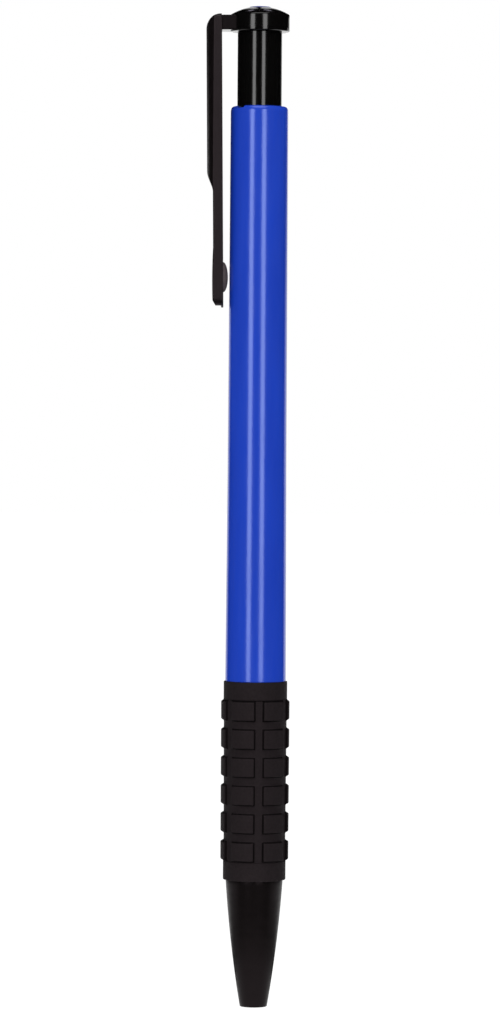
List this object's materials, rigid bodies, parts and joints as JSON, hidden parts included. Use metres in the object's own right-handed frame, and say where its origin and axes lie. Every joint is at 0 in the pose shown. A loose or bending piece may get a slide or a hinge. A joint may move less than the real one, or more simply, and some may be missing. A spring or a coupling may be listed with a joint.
{
  "type": "mechanical pencil",
  "caption": "Push-button clutch pencil with a clip carried on the button, a padded rubber grip and a plain conical nose; its thick lead is drawn in.",
  "frame": {"origin": "centre of the nose's flat mouth, where the lead comes out", "axes": "+Z along the long axis from the mouth to the push button, -X towards the clip"},
  "size_m": [0.0123, 0.0096, 0.14],
  "materials": {
    "blue_plastic": "glossy moulded, translucent look",
    "black_plastic": "glossy moulded",
    "clip_plastic": "semi-gloss moulded",
    "nose_plastic": "satin moulded",
    "grip_rubber": "matte moulded rubber",
    "plug_plastic": "glossy moulded",
    "tube_plastic": "natural extruded",
    "connector_plastic": "moulded acetal",
    "chuck_brass": "turned",
    "ring_steel": "turned",
    "spring_steel": "drawn wire",
    "retainer_rubber": "moulded",
    "graphite": "graphite with a dull sheen"
  },
  "bodies": {
    "casing": {"barrel": "blue_plastic", "nose_cone": "nose_plastic", "grip_sleeve": "grip_rubber", "lead_retainer": "retainer_rubber", "chuck_sleeve": "chuck_brass", "return_spring": "spring_steel"},
    "feed_unit": {"chuck_collar": "chuck_brass", "tube_connector": "connector_plastic", "lead_tube": "tube_plastic", "spare_lead_1": "graphite", "spare_lead_2": "graphite"},
    "button": {"button_stem": "black_plastic", "button_cap": "black_plastic", "top_plug": "plug_plastic"},
    "clip": {"clip": "clip_plastic"},
    "clutch_ring": {"clutch_ring": "ring_steel"},
    "jaw_1": {"chuck_jaw_1": "chuck_brass"},
    "jaw_2": {"chuck_jaw_2": "chuck_brass"},
    "jaw_3": {"chuck_jaw_3": "chuck_brass"},
    "lead": {"lead": "graphite"}
  },
  "joints": [
    {"name": "button_press", "type": "slide", "parent": "casing", "child": "feed_unit", "axis": [0, 0, -1], "range_m": [0, 0.004], "stiffness_N_per_m": 700, "springref_m": -0.004, "deforming": ["return_spring"]},
    {"name": "clutch_ring_follow", "type": "slide", "parent": "casing", "child": "clutch_ring", "axis": [0, 0, -1], "range_m": [0, 0.0012]},
    {"name": "jaw_1_open", "type": "hinge", "parent": "feed_unit", "child": "jaw_1", "pos_m": [0.00065, 0.00113, 0.0245], "axis": [0.866, -0.5, 0], "range_deg": [0, 1.8]},
    {"name": "jaw_2_open", "type": "hinge", "parent": "feed_unit", "child": "jaw_2", "pos_m": [-0.0013, 0, 0.0245], "axis": [0, 1, 0], "range_deg": [0, 1.8]},
    {"name": "jaw_3_open", "type": "hinge", "parent": "feed_unit", "child": "jaw_3", "pos_m": [0.00065, -0.00113, 0.0245], "axis": [-0.866, -0.5, 0], "range_deg": [0, 1.8]},
    {"name": "button_pull_off", "type": "slide", "parent": "feed_unit", "child": "button", "axis": [0, 0, 1], "range_m": [0, 0.028]},
    {"name": "clip_flex", "type": "hinge", "parent": "button", "child": "clip", "pos_m": [-0.00529, 0, 0.1384], "axis": [0, 1, 0], "range_deg": [0, 5], "stiffness_Nm_per_rad": 1},
    {"name": "lead_feed", "type": "slide", "parent": "casing", "child": "lead", "axis": [0, 0, -1], "range_m": [0, 0.01]}
  ],
  "couplings": [
    {"joint": "clutch_ring_follow", "follows": "button_press", "ratio": 0.3},
    {"joint": "jaw_1_open", "follows": "button_press", "rad_per_m": 7.85},
    {"joint": "jaw_2_open", "follows": "button_press", "rad_per_m": 7.85},
    {"joint": "jaw_3_open", "follows": "button_press", "rad_per_m": 7.85}
  ]
}
